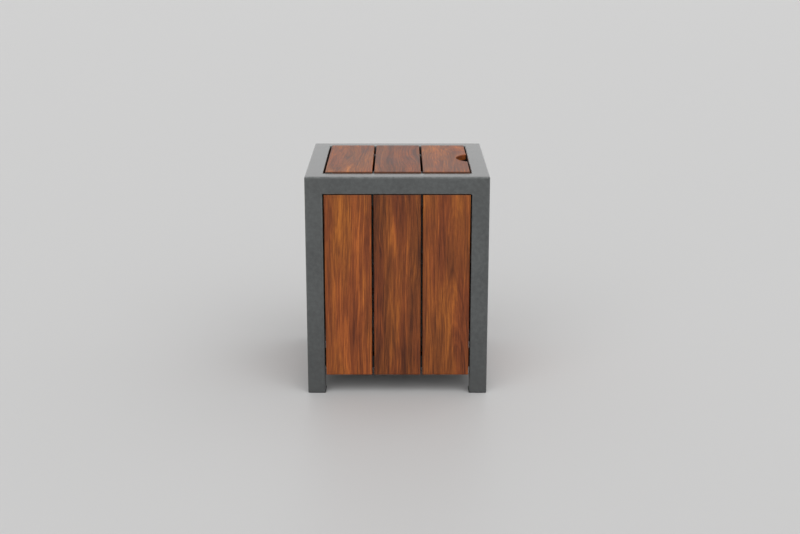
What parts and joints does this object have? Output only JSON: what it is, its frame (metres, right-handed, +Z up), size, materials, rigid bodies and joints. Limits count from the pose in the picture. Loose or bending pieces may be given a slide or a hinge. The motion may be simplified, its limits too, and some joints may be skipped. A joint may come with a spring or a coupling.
{
  "type": "litter bin",
  "caption": "Square litter bin: dark steel tube frame, upright hardwood boards on all sides, inset hinged timber lid with a finger notch, and a lift-out galvanised liner.",
  "frame": {"origin": "on the floor, under the middle of the bin", "axes": "+X to the bin's right, -Y out of its front, +Z up"},
  "size_m": [0.6, 0.6, 0.746],
  "materials": {
    "frame_coating": "fine-texture matt powder coat, dark grey",
    "inner_coating": "matt powder coat, dark grey",
    "side_boards": "oiled hardwood, satin, grain upright",
    "lid_boards": "oiled hardwood, satin, grain front to back",
    "lid_steel": "matt powder coat",
    "pin_steel": "turned stainless steel",
    "bush_plastic": "black acetal",
    "glide_plastic": "black moulded plastic",
    "buffer_rubber": "black rubber",
    "screw_steel": "stainless steel",
    "galvanised": "galvanised, faint spangle",
    "saddle_steel": "zinc plated",
    "rivet_aluminium": "plain",
    "handle_steel": "zinc-plated round wire"
  },
  "bodies": {
    "frame": {"base_bearer_front": "inner_coating", "base_bearer_rear": "inner_coating", "base_tray": "inner_coating", "board_front_1": "side_boards", "board_front_2": "side_boards", "board_front_3": "side_boards", "board_left_1": "side_boards", "board_left_2": "side_boards", "board_left_3": "side_boards", "board_rear_1": "side_boards", "board_rear_2": "side_boards", "board_rear_3": "side_boards", "board_right_1": "side_boards", "board_right_2": "side_boards", "board_right_3": "side_boards", "board_screws": "screw_steel", "foot_glide_front_left": "glide_plastic", "foot_glide_front_right": "glide_plastic", "foot_glide_rear_left": "glide_plastic", "foot_glide_rear_right": "glide_plastic", "foot_plates": "inner_coating", "leg_front_left": "frame_coating", "leg_front_right": "frame_coating", "leg_rear_left": "frame_coating", "leg_rear_right": "frame_coating", "lid_buffers": "buffer_rubber", "lid_rest_front": "inner_coating", "lid_rest_rear": "inner_coating", "liner_stops": "inner_coating", "pivot_bush_front": "bush_plastic", "pivot_bush_rear": "bush_plastic", "slat_rail_front_lower": "inner_coating", "slat_rail_front_upper": "inner_coating", "slat_rail_left_lower": "inner_coating", "slat_rail_left_upper": "inner_coating", "slat_rail_rear_lower": "inner_coating", "slat_rail_rear_upper": "inner_coating", "slat_rail_right_lower": "inner_coating", "slat_rail_right_upper": "inner_coating", "top_rail_front": "frame_coating", "top_rail_left": "frame_coating", "top_rail_rear": "frame_coating", "top_rail_right": "frame_coating", "tray_bolts": "screw_steel"},
    "lid": {"lid_bar_front": "lid_steel", "lid_bar_rear": "lid_steel", "lid_board_1": "lid_boards", "lid_board_2": "lid_boards", "lid_board_3": "lid_boards", "lid_screws": "screw_steel", "pivot_bracket_front": "lid_steel", "pivot_bracket_rear": "lid_steel", "pivot_pin_front": "pin_steel", "pivot_pin_rear": "pin_steel"},
    "liner": {"liner": "galvanised", "liner_saddles": "saddle_steel", "liner_rivets": "rivet_aluminium"},
    "handle_left": {"liner_handle_left": "handle_steel"},
    "handle_right": {"liner_handle_right": "handle_steel"}
  },
  "joints": [
    {"name": "lid_hinge", "type": "hinge", "parent": "frame", "child": "lid", "pos_m": [-0.2235, 0, 0.734], "axis": [0, -1, 0], "range_deg": [0, 115]},
    {"name": "liner_lift", "type": "slide", "parent": "frame", "child": "liner", "axis": [0, 0, 1], "range_m": [0, 0.05]},
    {"name": "handle_left_swing", "type": "hinge", "parent": "liner", "child": "handle_left", "pos_m": [-0.207, 0, 0.6], "axis": [0, 1, 0], "range_deg": [-6, 175]},
    {"name": "handle_right_swing", "type": "hinge", "parent": "liner", "child": "handle_right", "pos_m": [0.207, 0, 0.6], "axis": [0, -1, 0], "range_deg": [-6, 175]}
  ]
}
